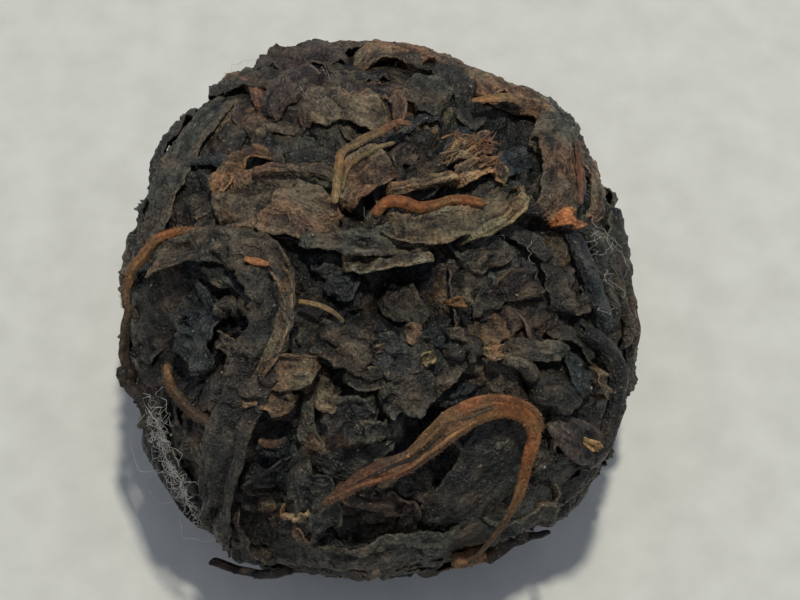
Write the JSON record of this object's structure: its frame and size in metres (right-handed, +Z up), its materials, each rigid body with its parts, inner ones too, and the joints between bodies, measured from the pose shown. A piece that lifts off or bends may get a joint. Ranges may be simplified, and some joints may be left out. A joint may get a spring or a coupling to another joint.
{
  "type": "pressed pu erh tea lump",
  "caption": "Small rounded cushion of dark pressed tea leaves, rolled strips and bare stems in one hard lump, standing on a small flat spot.",
  "frame": {"origin": "middle of the small flat spot that the lump stands on", "axes": "+Z up; the side seen in front faces -Y"},
  "size_m": [0.0246, 0.0269, 0.0186],
  "materials": {
    "tea": "dry, matt, dark pressed leaf"
  },
  "bodies": {
    "root": {"pressed_tea": "tea"}
  },
  "joints": []
}
